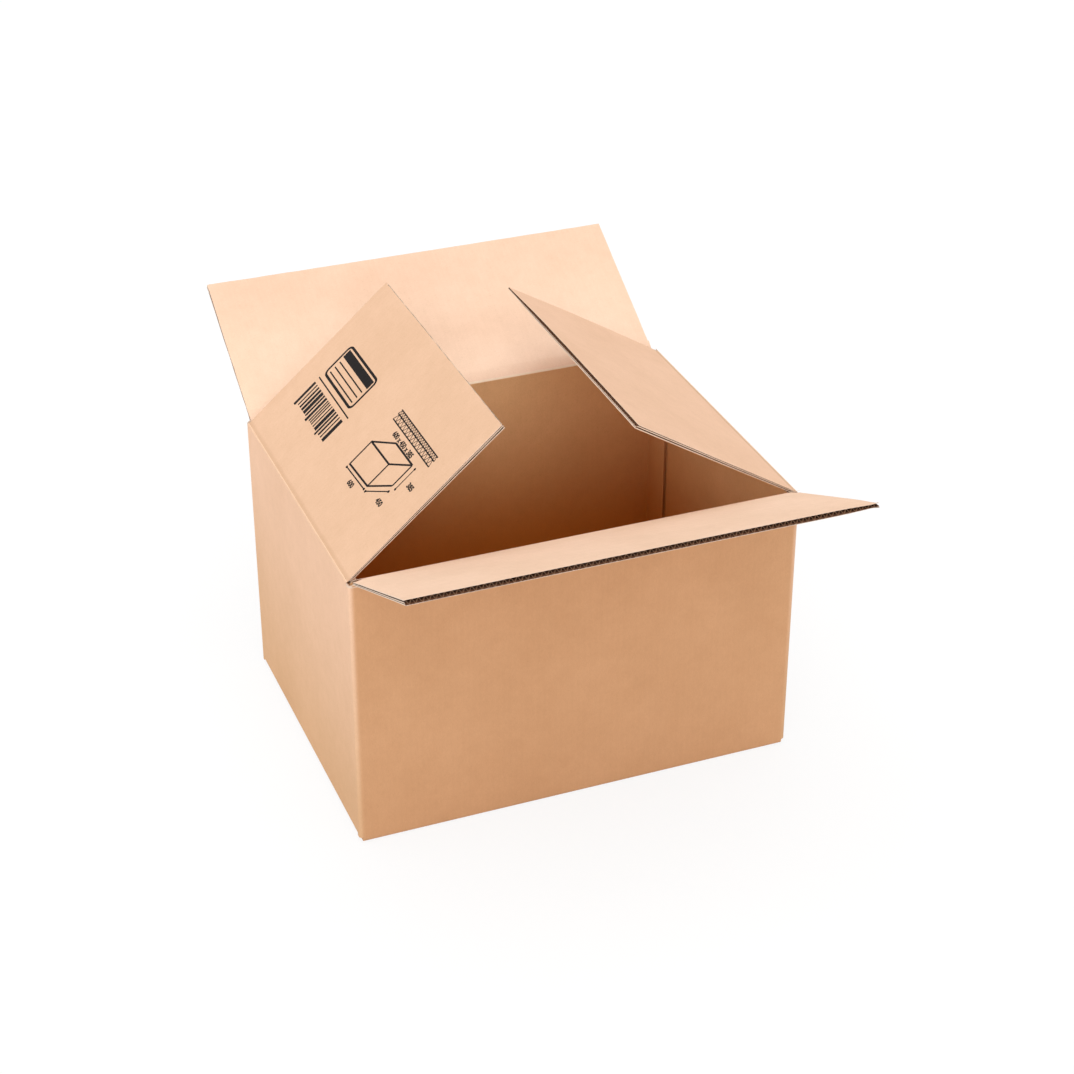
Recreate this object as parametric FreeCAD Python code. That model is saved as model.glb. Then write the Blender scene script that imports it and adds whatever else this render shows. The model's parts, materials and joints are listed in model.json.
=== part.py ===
import FreeCAD, Part
import math
import os

# An open slotted carton of double-wall corrugated board, in millimetres.
# The origin is at the centre of its underside, on the floor, with +Z up.
# X runs along the length and Y across the width, with the front wall at -Y.

# Board: three paper liners, with a fine flute next to the outer liner and a coarse one inside
LINER = 0.4
FINE_FLUTE = 2.4
FINE_PITCH = 6.4
COARSE_FLUTE = 3.4
COARSE_PITCH = 7.8
BOARD = 3 * LINER + FINE_FLUTE + COARSE_FLUTE

# Start of each flute layer below the outer face, and its height
FLUTE_LAYERS = [(LINER, FINE_FLUTE), (2 * LINER + FINE_FLUTE, COARSE_FLUTE)]

# Box, over its outer faces
BOX_LENGTH = 600.0
BOX_WIDTH = 450.0
CREASE_HEIGHT = 385.0
FOLD_RADIUS = 5.0
INNER_FOLD_RADIUS = 1.0

# Flaps: the long pair meets at a seam when shut, and the end pair leaves a space between its tips
SEAM_GAP = 0.2
END_FLAP_SPACE = 70.0
LONG_FLAP_LENGTH = (BOX_WIDTH - SEAM_GAP) / 2
END_FLAP_LENGTH = (BOX_LENGTH - END_FLAP_SPACE) / 2

# Lean of the open flaps from upright in degrees, positive inwards over the box
LEFT_LEAN_DEG = 49.0
RIGHT_LEAN_DEG = 58.0
FRONT_LEAN_DEG = -66.0
BACK_LEAN_DEG = -60.5

# Glue tab, folded from the back wall onto the inner face of the right wall and pressed there
TAB_WIDTH = 55.0
TAB_THICKNESS = 4.2
TAB_TAPER = 12.0
TAB_END_GAP = 6.0

# Clearances: at a flap's mitred root, between stacked flaps, and beside the flaps in their slots
HINGE_GAP = 0.2
LAYER_GAP = 0.2
END_FLAP_GAP = 1.5
LONG_FLAP_INSET = 5.0
GLUED_SIDE_GAP = 2.0

# Cut edges: open flute ends at a flap's tip, and hollows between the liners where the cut runs along the flutes
FLUTE_DEPTH = 3.0
FLUTE_SHARE = 0.8
SIDE_HOLLOW = 3.0

# Height of the lower end of the walls, which is also the underside of the inner bottom flaps
INNER_LAYER = BOARD + LAYER_GAP

# Length that a cut runs past the board
OVERRUN = 1.0

UP = FreeCAD.Vector(0, 0, 1)


class Wall:
    """One wall: the way into the box, the distance to its outer face, and its flaps.

    The flaps reach from low to high along the wall, in the direction inward x UP."""

    def __init__(self, inward, distance, flap_length, low, high):
        self.inward = inward
        self.distance = distance
        self.flap_length = flap_length
        self.low = low
        self.high = high

    def frame(self, height, lean):
        """Placement on the outer face at a height: X through the board, Y up along it, leaning inwards."""
        angle = math.radians(lean)
        through = self.inward * math.cos(angle) - UP * math.sin(angle)
        along = UP * math.cos(angle) + self.inward * math.sin(angle)
        turn = FreeCAD.Rotation(through, along, through.cross(along), "XYZ")
        return FreeCAD.Placement(UP * height - self.inward * self.distance, turn)


LONG_END = BOX_LENGTH / 2 - LONG_FLAP_INSET
GLUED_END = BOX_LENGTH / 2 - BOARD - GLUED_SIDE_GAP
END_FLAP_SIDE = BOX_WIDTH / 2 - BOARD - END_FLAP_GAP
FRONT = Wall(FreeCAD.Vector(0, 1, 0), BOX_WIDTH / 2, LONG_FLAP_LENGTH, -LONG_END, LONG_END)
BACK = Wall(FreeCAD.Vector(0, -1, 0), BOX_WIDTH / 2, LONG_FLAP_LENGTH, -GLUED_END, LONG_END)
LEFT = Wall(FreeCAD.Vector(1, 0, 0), BOX_LENGTH / 2, END_FLAP_LENGTH, -END_FLAP_SIDE, END_FLAP_SIDE)
RIGHT = Wall(FreeCAD.Vector(-1, 0, 0), BOX_LENGTH / 2, END_FLAP_LENGTH, -END_FLAP_SIDE, END_FLAP_SIDE)


def point(x, y, z=0.0):
    return FreeCAD.Vector(x, y, z)


class Bend:
    """The centre of a quarter arc, between its two ends in an outline."""

    def __init__(self, centre):
        self.centre = centre

    def arc(self, start, end):
        outward = (start - self.centre) + (end - self.centre)
        middle = self.centre + outward.normalize() * start.distanceToPoint(self.centre)
        return Part.Arc(start, middle, end).toShape()


def outline_wire(outline):
    """Closed wire through points, with a quarter arc wherever a Bend stands between two of them."""
    edges = []
    closed = outline + outline[:1]
    for index, here in enumerate(closed[:-1]):
        after = closed[index + 1]
        if isinstance(here, Bend):
            continue
        if isinstance(after, Bend):
            edges.append(after.arc(here, closed[index + 2]))
        else:
            edges.append(Part.makeLine(here, after))
    return Part.Wire(edges)


def polygon_face(points):
    return Part.Face(Part.makePolygon(points + points[:1]))


def rounded_corner(x, y, side_x, side_y, radius):
    """Rounded corner at x, y, from the edge that runs along Y to the edge that runs along X."""
    inner_x = x + side_x * radius
    inner_y = y + side_y * radius
    return [point(x, inner_y), Bend(point(inner_x, inner_y)), point(inner_x, y)]


def wall_plan():
    """Plan of the four walls, with the fold at the back right corner that starts the glue tab."""
    x, y = BOX_LENGTH / 2, BOX_WIDTH / 2
    inner_x, inner_y = x - BOARD, y - BOARD
    outer = rounded_corner(-x, -y, 1, 1, FOLD_RADIUS)
    outer += rounded_corner(x, -y, -1, 1, FOLD_RADIUS)[::-1]
    outer += [point(x, y), point(inner_x, y)]
    outer += rounded_corner(inner_x, y, -1, -1, FOLD_RADIUS)
    outer += rounded_corner(-x, y, 1, -1, FOLD_RADIUS)[::-1]
    inner = rounded_corner(-inner_x, -inner_y, 1, 1, INNER_FOLD_RADIUS)
    inner += rounded_corner(inner_x, -inner_y, -1, 1, INNER_FOLD_RADIUS)[::-1]
    inner += [point(inner_x, inner_y - INNER_FOLD_RADIUS)]
    inner += rounded_corner(inner_x - TAB_THICKNESS, inner_y, -1, -1, INNER_FOLD_RADIUS)
    inner += rounded_corner(-inner_x, inner_y, 1, -1, INNER_FOLD_RADIUS)[::-1]
    return Part.Face(outline_wire(outer)).cut(Part.Face(outline_wire(inner))).Faces[0]


def rim_mitre():
    """Frustum that bevels the walls' rim inwards, so that a flap can lie flat on it."""
    rim = CREASE_HEIGHT - HINGE_GAP
    sections = []
    for step in (-BOARD - OVERRUN, OVERRUN):
        x = BOX_LENGTH / 2 + step
        y = BOX_WIDTH / 2 + step
        z = rim + step
        corners = [point(-x, -y, z), point(x, -y, z), point(x, y, z), point(-x, y, z)]
        sections.append(Part.makePolygon(corners + corners[:1]))
    return Part.makeLoft(sections, True, True)


def glue_tab():
    """Tab with tapered ends on the right wall, as wide as shown past the fold behind it."""
    near = BOX_WIDTH / 2 - BOARD - INNER_FOLD_RADIUS
    far = BOX_WIDTH / 2 - BOARD - TAB_WIDTH
    low = INNER_LAYER + BOARD + TAB_END_GAP
    high = CREASE_HEIGHT - BOARD - TAB_END_GAP
    x = BOX_LENGTH / 2 - BOARD - TAB_THICKNESS
    side = [point(x, near, low), point(x, far, low + TAB_TAPER),
            point(x, far, high - TAB_TAPER), point(x, near, high)]
    return polygon_face(side).extrude(point(TAB_THICKNESS, 0))


def folded_bottom_flap(wall, underside):
    """A wall's lower end and the flap folded from it, as an L with a rounded bend."""
    inner_bend = BOARD + INNER_FOLD_RADIUS
    join = inner_bend + OVERRUN
    outline = [point(0, FOLD_RADIUS), Bend(point(FOLD_RADIUS, FOLD_RADIUS)), point(FOLD_RADIUS, 0),
               point(wall.flap_length, 0), point(wall.flap_length, BOARD), point(inner_bend, BOARD),
               Bend(point(inner_bend, inner_bend)), point(BOARD, inner_bend),
               point(BOARD, join), point(0, join)]
    flap = Part.Face(outline_wire(outline)).extrude(UP * (wall.high - wall.low))
    flap.translate(UP * wall.low)
    flap.Placement = wall.frame(underside, 0).multiply(flap.Placement)
    return flap


def end_wall_foot(wall):
    """Cut that clears an end wall's square foot, where its rounded fold goes."""
    depth = BOARD + INNER_FOLD_RADIUS
    foot = Part.makeBox(BOARD + OVERRUN, depth + OVERRUN, wall.high - wall.low,
                        point(-OVERRUN, -OVERRUN, wall.low))
    foot.Placement = wall.frame(INNER_LAYER, 0).multiply(foot.Placement)
    return foot


def glued_corner_hollows():
    """Hollows between the liners at the tab's free edge and at the right wall's cut edge behind it."""
    tab_edge = BOX_WIDTH / 2 - BOARD - TAB_WIDTH - OVERRUN
    wall_edge = BOX_WIDTH / 2 - SIDE_HOLLOW
    hollows = []
    for start, height in FLUTE_LAYERS:
        # The tab is the same board pressed thin, so its hollows are thinner by the same share
        for face, y, share in ((BOX_LENGTH / 2 - BOARD, tab_edge, TAB_THICKNESS / BOARD), (BOX_LENGTH / 2, wall_edge, 1)):
            corner = point(face - (start + height) * share, y)
            hollows.append(Part.makeBox(height * share, SIDE_HOLLOW + OVERRUN, CREASE_HEIGHT, corner))
    return hollows


def carton_body():
    """Walls, glue tab and shut bottom: one folded sheet."""
    walls = wall_plan().extrude(UP * (CREASE_HEIGHT - INNER_LAYER))
    walls.translate(UP * INNER_LAYER)
    walls = walls.cut([rim_mitre(), end_wall_foot(LEFT), end_wall_foot(RIGHT)])
    walls = walls.fuse(glue_tab()).cut(glued_corner_hollows())
    folds = [folded_bottom_flap(FRONT, 0), folded_bottom_flap(BACK, 0)]
    folds += [folded_bottom_flap(LEFT, INNER_LAYER), folded_bottom_flap(RIGHT, INNER_LAYER)]
    return walls.fuse(folds).removeSplitter()


def flute_ends(low, high, tip):
    """Pockets at a flap's tip: one for each wave of the fine and the coarse flute."""
    layers = [(LINER, LINER + FINE_FLUTE, FINE_PITCH),
              (BOARD - LINER, BOARD - LINER - COARSE_FLUTE, COARSE_PITCH)]
    room = high - low - 2 * (SIDE_HOLLOW + LINER)
    floor = tip - FLUTE_DEPTH
    pockets = []
    for base, crest, pitch in layers:
        count = int(room // pitch)
        for index in range(count):
            middle = (low + high + (2 * index + 1 - count) * pitch) / 2
            half = FLUTE_SHARE * pitch / 2
            corners = [point(base, floor, middle - half), point(base, floor, middle + half),
                       point(crest, floor, middle)]
            pockets.append(polygon_face(corners).extrude(point(0, FLUTE_DEPTH + OVERRUN)))
    return pockets


def side_hollows(low, high, tip):
    """Hollows between the liners along both side edges, where the cut runs along the flutes."""
    length = tip + 2 * OVERRUN
    hollows = []
    for start, height in FLUTE_LAYERS:
        for side in (low - OVERRUN, high - SIDE_HOLLOW):
            corner = point(start, -OVERRUN, side)
            hollows.append(Part.makeBox(height, length, SIDE_HOLLOW + OVERRUN, corner))
    return hollows


def top_flap(wall, lean):
    """An open flap: a board with a mitred root on the crease, leaning from upright."""
    tip = wall.flap_length
    root = [point(0, HINGE_GAP), point(0, tip), point(BOARD, tip), point(BOARD, BOARD + HINGE_GAP)]
    flap = polygon_face(root).extrude(UP * (wall.high - wall.low))
    flap.translate(UP * wall.low)
    cuts = flute_ends(wall.low, wall.high, tip) + side_hollows(wall.low, wall.high, tip)
    flap = flap.cut(Part.makeCompound(cuts))
    flap.Placement = wall.frame(CREASE_HEIGHT, lean).multiply(flap.Placement)
    return flap


def single_solid(shape):
    """The one solid that a boolean leaves in its compound."""
    return shape.Solids[0] if len(shape.Solids) == 1 else shape


def main():
    pieces = {
        "carton_body": carton_body(),
        "front_flap": top_flap(FRONT, FRONT_LEAN_DEG),
        "back_flap": top_flap(BACK, BACK_LEAN_DEG),
        "left_flap": top_flap(LEFT, LEFT_LEAN_DEG),
        "right_flap": top_flap(RIGHT, RIGHT_LEAN_DEG),
    }
    os.makedirs("parts", exist_ok=True)
    for name, shape in pieces.items():
        solid = single_solid(shape)
        solid.exportStep("parts/" + name + ".step")
        print(name, "solids", len(solid.Solids), "valid", solid.isValid(),
              "volume %.0f mm3" % solid.Volume, solid.BoundBox)


main()
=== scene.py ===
# %% [markdown]
# An open carton of double-wall corrugated board, dressed for the camera.
#
# The construction is already settled, and this script only loads it: one body with its walls and
# shut bottom, and four flaps that hinge on the body's top creases. What is added here is what makes
# paper board look like paper board: the five papers of its section, the rounded skin of each crease,
# the kraft colour with its fibres, and black print on one flap.

# %% Load the frame
import json
import math

import bmesh
import bpy
import numpy as np
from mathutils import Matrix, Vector


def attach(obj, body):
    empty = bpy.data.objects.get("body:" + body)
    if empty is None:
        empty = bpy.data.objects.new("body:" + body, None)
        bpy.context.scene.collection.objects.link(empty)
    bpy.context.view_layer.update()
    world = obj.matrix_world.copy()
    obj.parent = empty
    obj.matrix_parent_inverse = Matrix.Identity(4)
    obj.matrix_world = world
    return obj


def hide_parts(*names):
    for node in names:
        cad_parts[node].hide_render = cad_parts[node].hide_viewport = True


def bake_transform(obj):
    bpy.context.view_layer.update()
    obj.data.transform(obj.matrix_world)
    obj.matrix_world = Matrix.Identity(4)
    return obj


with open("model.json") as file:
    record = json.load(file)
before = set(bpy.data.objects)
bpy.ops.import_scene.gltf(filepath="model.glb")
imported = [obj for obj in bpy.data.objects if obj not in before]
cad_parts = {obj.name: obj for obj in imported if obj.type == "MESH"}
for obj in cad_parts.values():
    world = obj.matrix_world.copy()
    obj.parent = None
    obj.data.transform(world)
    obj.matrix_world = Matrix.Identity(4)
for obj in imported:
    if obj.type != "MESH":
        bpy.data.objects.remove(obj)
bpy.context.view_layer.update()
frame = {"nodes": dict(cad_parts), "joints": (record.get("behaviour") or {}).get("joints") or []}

print("pieces in the frame:", sorted(frame["nodes"]))

# %% [markdown]
# Every flap is the same thing in another place, so each gets its own small frame of three directions:
# through the board from its outer face to its inner face, along the flutes from the crease to the tip,
# and across the flutes. A point of a flap is then three plain lengths, and one function turns them into
# a place in the room. The crease, the lean and the flap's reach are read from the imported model.

# %% The flaps' own directions and sizes
MM = 0.001
UP = Vector((0, 0, 1))
BODY_NODE = "carton_body"


class Flap:
    """A flap's crease, directions and reach, all at rest."""

    def __init__(self, body, leans_in):
        joint = next(j for j in frame["joints"] if j["child"] == body)
        self.body = body
        self.node = body + "_flap"
        self.crease = Vector(joint["pos_m"])
        self.inward = Vector((-self.crease.x, -self.crease.y, 0)).normalized()
        low, high = joint["range_deg"]
        # An end flap stops when it lies flat, a quarter turn in; a long flap stops upright
        self.lean = math.radians(90 - high if leans_in else low)
        self.through = self.inward * math.cos(self.lean) - UP * math.sin(self.lean)
        self.along = UP * math.cos(self.lean) + self.inward * math.sin(self.lean)
        self.across = self.through.cross(self.along)
        points = [v.co - self.crease for v in frame["nodes"][self.node].data.vertices]
        self.length = max(p.dot(self.along) for p in points)
        self.low = min(p.dot(self.across) for p in points)
        self.high = max(p.dot(self.across) for p in points)


FLAPS = {name: Flap(name, name in ("left", "right")) for name in ("front", "back", "left", "right")}
for flap in FLAPS.values():
    print(flap.node, "length %.1f mm" % (flap.length / MM), "lean %.1f" % math.degrees(flap.lean),
          "width %.1f mm" % ((flap.high - flap.low) / MM))

# %% [markdown]
# The camera comes first, because every later choice is judged through it. The photograph was taken with
# a long lens from above the left front corner. Its place and lens were found by fitting a pinhole camera
# to the edges of the box, so they are written here as the angle round the box, the angle above the
# floor, the distance, and the lens.

# %% Camera
CAMERA_AZIMUTH = math.radians(-21.485)
CAMERA_ELEVATION = math.radians(30.649)
CAMERA_DISTANCE = 3.4024
CAMERA_AIM = Vector((0.0961, 0.1681, 0.150))
CAMERA_LENS = 80.16


def make_camera():
    """A camera that looks at the aim from the photograph's side."""
    data = bpy.data.cameras.new("camera")
    data.lens = CAMERA_LENS
    data.sensor_width = 36
    camera = bpy.data.objects.new("camera", data)
    bpy.context.collection.objects.link(camera)
    level = math.cos(CAMERA_ELEVATION)
    back = Vector((math.sin(CAMERA_AZIMUTH) * level, -math.cos(CAMERA_AZIMUTH) * level,
                   math.sin(CAMERA_ELEVATION)))
    camera.location = CAMERA_AIM + back * CAMERA_DISTANCE
    camera.rotation_euler = (math.pi / 2 - CAMERA_ELEVATION, 0, CAMERA_AZIMUTH)
    return camera


bpy.context.scene.camera = make_camera()
bpy.context.scene.view_settings.view_transform = "Standard"
print("camera at", [round(c, 3) for c in bpy.context.scene.camera.location])

# %% [markdown]
# Every shader below is built from the same few steps, so they come first: a node with its inputs set or
# linked, a sum, a product, a range spread over another, and a mix of two tones.

# %% Shader helpers
def feed(tree, socket, value):
    """Links an input to another node's output, or sets it to a plain value."""
    if isinstance(value, bpy.types.NodeSocket):
        tree.links.new(value, socket)
    else:
        socket.default_value = value


def add(tree, kind, operation=None, **values):
    """A node with some of its inputs set or linked, by socket name or number."""
    node = tree.nodes.new(kind)
    if operation:
        node.operation = operation
    for name, value in values.items():
        feed(tree, node.inputs[int(name[1:]) if name[0] == "i" and name[1:].isdigit() else name], value)
    return node


def math_node(tree, operation, first, second=0.0):
    """One sum on one or two values."""
    return add(tree, "ShaderNodeMath", operation, i0=first, i1=second).outputs[0]


def times(tree, *values):
    """The product of several values."""
    result = values[0]
    for value in values[1:]:
        result = math_node(tree, "MULTIPLY", result, value)
    return result


def noise(tree, vector, scale, detail, roughness=0.5):
    """Noise between 0 and 1, by its number of marks per metre."""
    return add(tree, "ShaderNodeTexNoise", Vector=vector, Scale=scale, Detail=detail, Roughness=roughness).outputs[0]


def spread(tree, value, low, high, start=0.32, end=0.68, kind="LINEAR"):
    """A range of a value, or else the middle of a noise's range, spread from low to high."""
    node = add(tree, "ShaderNodeMapRange", **{"Value": value, "From Min": start, "From Max": end,
                                              "To Min": low, "To Max": high})
    node.interpolation_type = kind
    return node.outputs["Result"]


def smooth_share(tree, value, start, end):
    """A share that rises smoothly from 0 to 1 between two values."""
    return spread(tree, value, 0.0, 1.0, start, end, "SMOOTHSTEP")


def mixed_tone(tree, share, first, second, blend="MIX"):
    """A colour between two tones, each a plain tone or a socket."""
    node = tree.nodes.new("ShaderNodeMix")
    node.data_type, node.blend_type = "RGBA", blend
    feed(tree, node.inputs[0], share)
    for socket, value in ((node.inputs[6], first), (node.inputs[7], second)):
        feed(tree, socket, (*value, 1) if isinstance(value, tuple) else value)
    return node.outputs[2]


def add_sockets(tree, direction, sockets):
    """A group's sockets, each with its name, its kind and its value if it has one."""
    for name, kind, *value in sockets:
        socket = tree.interface.new_socket(name=name, in_out=direction, socket_type="NodeSocket" + kind)
        if value:
            socket.default_value = value[0]


print("shader helpers ready")

# %% [markdown]
# A studio shot on white needs a bright, even room: most of the light comes from everywhere, one wide
# lamp overhead gives the top faces more, a weak one at the left lifts the left wall over the front, and
# one from the photographer's side reaches down into the box. The floor is white paper. To the camera it is
# mostly plain white, with a share of real shading left in, so that the box still stands on its own shadow.

# %% Room, lamp and floor
ROOM_LIGHT = 0.58
LAMPS = {"overhead lamp": (Vector((-0.10, -0.05, 0.99)), 1.5, math.radians(60)),
         "left lamp": (Vector((-0.95, -0.20, 0.25)), 0.22, math.radians(60)),
         "front lamp": (Vector((-0.36, -0.78, 0.52)), 0.85, math.radians(50))}
FLOOR_HALF = 15.0
FLOOR_DROP = 0.2 * MM
WHITE = (1, 1, 1, 1)
FLOOR_WHITE = (0.92, 0.92, 0.92, 1)
FLOOR_GLOW_SHARE = 0.84


def rays_that_see_white(tree):
    """A value that is 1 for what the camera or a reflection sees, and 0 for light on the object."""
    path = tree.nodes.new("ShaderNodeLightPath").outputs
    return math_node(tree, "MAXIMUM", path["Is Camera Ray"], path["Is Glossy Ray"])


def make_room():
    """An even room that lights the box softly and looks plain white."""
    world = bpy.data.worlds.new("studio")
    world.use_nodes = True
    tree = world.node_tree
    tree.nodes.clear()
    light = add(tree, "ShaderNodeBackground", Color=WHITE, Strength=ROOM_LIGHT)
    white = add(tree, "ShaderNodeBackground", Color=WHITE)
    mix = add(tree, "ShaderNodeMixShader", i0=rays_that_see_white(tree), i1=light.outputs[0], i2=white.outputs[0])
    add(tree, "ShaderNodeOutputWorld", Surface=mix.outputs[0])
    bpy.context.scene.world = world


def make_lamp(name, direction, strength, width):
    """One wide soft lamp that shines from a direction."""
    data = bpy.data.lights.new(name, "SUN")
    data.energy = strength
    data.angle = width
    lamp = bpy.data.objects.new(name, data)
    lamp.rotation_euler = direction.to_track_quat("Z", "Y").to_euler()
    bpy.context.collection.objects.link(lamp)


def floor_material():
    """White paper that the camera sees as white with a faint shadow."""
    material = bpy.data.materials.new("floor paper")
    material.use_nodes = True
    tree = material.node_tree
    tree.nodes.clear()
    paper = add(tree, "ShaderNodeBsdfDiffuse", Color=FLOOR_WHITE)
    glow = add(tree, "ShaderNodeEmission", Color=WHITE)
    share = times(tree, rays_that_see_white(tree), FLOOR_GLOW_SHARE)
    mix = add(tree, "ShaderNodeMixShader", i0=share, i1=paper.outputs[0], i2=glow.outputs[0])
    add(tree, "ShaderNodeOutputMaterial", Surface=mix.outputs[0])
    return material


def make_floor():
    """A wide floor, a hair below the underside so that the two faces never fight."""
    mesh = bpy.data.meshes.new("floor")
    corners = [(-FLOOR_HALF, -FLOOR_HALF), (FLOOR_HALF, -FLOOR_HALF), (FLOOR_HALF, FLOOR_HALF),
               (-FLOOR_HALF, FLOOR_HALF)]
    mesh.from_pydata([(x, y, -FLOOR_DROP) for x, y in corners], [], [(0, 1, 2, 3)])
    mesh.materials.append(floor_material())
    floor = bpy.data.objects.new("floor", mesh)
    bpy.context.collection.objects.link(floor)


make_room()
for name, (direction, strength, width) in LAMPS.items():
    make_lamp(name, direction, strength, width)
make_floor()
print("room", ROOM_LIGHT, "lamps", {name: values[1] for name, values in LAMPS.items()})

# %% [markdown]
# Kraft paper is brown wood pulp pressed thin. Near to, it has short fibres, small dark and light flecks
# and soft clouds where the pulp lay thicker. On board, the flutes behind the paper show as very faint
# stripes, the washboard. All papers here share those marks, so they are one shader group, and each
# material gives it its own tone. Object coordinates are in metres, so the noise scales are marks per
# metre and keep their real size on every piece.

# %% The kraft paper group
WASHBOARD_PITCH = 7.8 * MM


def make_paper_group():
    """Shader group: a tone in, and the paper's colour, roughness and height out."""
    group = bpy.data.node_groups.new("kraft paper marks", "ShaderNodeTree")
    add_sockets(group, "INPUT", (("Place", "Vector", (0, 0, 0)), ("Tone", "Color", (0.8, 0.5, 0.3, 1)),
                                 ("Across Flutes", "Float", 0.0), ("Washboard", "Float", 0.0),
                                 ("Contrast", "Float", 1.0)))
    add_sockets(group, "OUTPUT", (("Color", "Color"), ("Roughness", "Float"), ("Height", "Float")))
    source = group.nodes.new("NodeGroupInput")
    place = source.outputs["Place"]
    clouds = noise(group, place, 9, 3)
    blotches = noise(group, place, 60, 4, 0.6)
    stretched = add(group, "ShaderNodeMapping", Vector=place, Scale=(1.0, 1.0, 0.35)).outputs[0]
    fibres = noise(group, stretched, 900, 4, 0.7)
    flecks = noise(group, place, 480, 2, 0.6)
    turn = math_node(group, "MULTIPLY", source.outputs["Across Flutes"], 2 * math.pi / WASHBOARD_PITCH)
    stripes = times(group, math_node(group, "SINE", turn), source.outputs["Washboard"])
    shade = times(group, spread(group, clouds, 0.965, 1.03), spread(group, blotches, 0.975, 1.022),
                  spread(group, fibres, 0.955, 1.04), spread(group, flecks, 1.0, 0.90, 0.60, 0.74),
                  spread(group, flecks, 1.06, 1.0, 0.27, 0.38))
    shade = math_node(group, "ADD", shade, times(group, stripes, 0.02))
    swing = times(group, math_node(group, "SUBTRACT", shade, 1.0), source.outputs["Contrast"])
    shade = math_node(group, "ADD", swing, 1.0)
    # Thicker pulp is a little redder as well as darker
    warm = add(group, "ShaderNodeCombineColor", i0=math_node(group, "POWER", shade, 0.8), i1=shade,
               i2=math_node(group, "POWER", shade, 1.35))
    colour = mixed_tone(group, 1.0, source.outputs["Tone"], warm.outputs[0], "MULTIPLY")
    relief = math_node(group, "ADD", times(group, stripes, 1.2), times(group, fibres, 0.5))
    add(group, "NodeGroupOutput", Color=colour, Roughness=spread(group, fibres, 0.80, 0.92), Height=relief)
    return group


PAPER_MARKS = make_paper_group()
print("paper group with", len(PAPER_MARKS.nodes), "nodes")

# %% [markdown]
# A material places the group, feeds it the direction across the flutes, and puts its three results on
# a matt shader. Paper has no gloss of its own, so the specular level is low. Height is in tenths of a
# millimetre: enough for light to catch, not enough to see as a shape. Some tones stand for the light in
# the photograph, which plain lamps don't give: the right flap's outer liner is lighter than the others'.

# %% Paper materials
SPECULAR = 0.18
RELIEF = 0.1 * MM


def paper_material(name, tone, axis="X", washboard=0.25, contrast=1.0, strength=0.5, tone_from=None):
    """A kraft paper, whose flutes lie across X or Y, with one tone or a tone by place."""
    material = bpy.data.materials.new(name)
    material.use_nodes = True
    tree = material.node_tree
    shader = tree.nodes["Principled BSDF"]
    shader.inputs["Specular IOR Level"].default_value = SPECULAR
    place = tree.nodes.new("ShaderNodeTexCoord").outputs["Object"]
    parts = add(tree, "ShaderNodeSeparateXYZ", i0=place)
    marks = tree.nodes.new("ShaderNodeGroup")
    marks.node_tree = PAPER_MARKS
    for socket, value in (("Tone", (*tone, 1)), ("Washboard", washboard), ("Contrast", contrast), ("Place", place),
                          ("Across Flutes", parts.outputs[axis])):
        feed(tree, marks.inputs[socket], value)
    if tone_from:
        tone_from(tree, parts, marks)
    bump = add(tree, "ShaderNodeBump", Strength=strength, Distance=RELIEF, Height=marks.outputs["Height"])
    tree.links.new(marks.outputs["Color"], shader.inputs["Base Color"])
    tree.links.new(marks.outputs["Roughness"], shader.inputs["Roughness"])
    tree.links.new(bump.outputs[0], shader.inputs["Normal"])
    return material


OUTER_TONE = (0.725, 0.468, 0.308)
INNER_TONE = (0.865, 0.605, 0.440)
FLAP_AXES = {"front": "X", "back": "X", "left": "Y", "right": "Y"}
OUTER_TONES = {"front": OUTER_TONE, "back": OUTER_TONE, "left": OUTER_TONE, "right": (0.823, 0.532, 0.362)}
FLAP_OUTER = {body: paper_material("kraft outer liner " + body, OUTER_TONES[body], axis)
              for body, axis in FLAP_AXES.items()}
CUT_EDGE = paper_material("cut edge of a liner", (0.82, 0.64, 0.51), washboard=0.0, contrast=1.6)
CUT_WAVE = paper_material("cut edge of the fluted paper", (0.34, 0.19, 0.11), washboard=0.0, contrast=1.6)
# The fluted papers and the liners' hidden inner faces get a near-black tone: painted shade for the flute hollows seen
# at cut edges.
HOLLOW_SHADED_PAPER = paper_material("fluted paper", (0.13, 0.055, 0.028), washboard=0.0, contrast=1.5)
# A pale crest tone: rubbed paper with a painted highlight.
RUBBED_AND_HIGHLIGHT_TONE = (1.0, 0.84, 0.65)
print("materials:", len(bpy.data.materials))

# %% [markdown]
# The body keeps its imported shape, so one material has to tell its faces apart by place: the long walls,
# the end walls, which darken downwards, and everything inside, which darkens towards the bottom as it does
# in the photograph. The flutes run up every wall, so the washboard goes along X on the long walls and along
# Y on the end walls.

# %% The body's paper
# These tones are lit and shaded copies of one paper: painted shade on the long walls, painted light at the end walls'
# tops with painted shade lower down, and inside painted light at the top with painted shade deepening towards the
# bottom.
LONG_WALL_PAINTED_SHADE_TONE = (0.610, 0.332, 0.172)
END_WALL_TOP_PAINTED_LIGHT_TONE = (0.81, 0.525, 0.356)
END_WALL_LOW_PAINTED_SHADE_TONE = (0.66, 0.402, 0.225)
CORNER_TONE = (0.72, 0.54, 0.41)
CORNER_X, CORNER_Y, CORNER_HEIGHTS = 0.2890, 0.2168, (0.3800, 0.3812)
END_WALL_HEIGHTS = (0.00, 0.36)
INSIDE_TOP_PAINTED_LIGHT_TONE = (1.0, 0.660, 0.345)
INSIDE_LOW_PAINTED_SHADE_TONE = (0.55, 0.195, 0.028)
END_FADE = (0.2915, 0.2995)
INSIDE_X, INSIDE_Y, INSIDE_FLOOR = 0.2945, 0.2195, 0.006
END_WALL_X = INSIDE_X - 0.002
INSIDE_DEPTHS = (0.100, 0.385)


def away(tree, parts, axis):
    """Distance from the middle of the box along an axis."""
    return math_node(tree, "ABSOLUTE", parts.outputs[axis])


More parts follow.
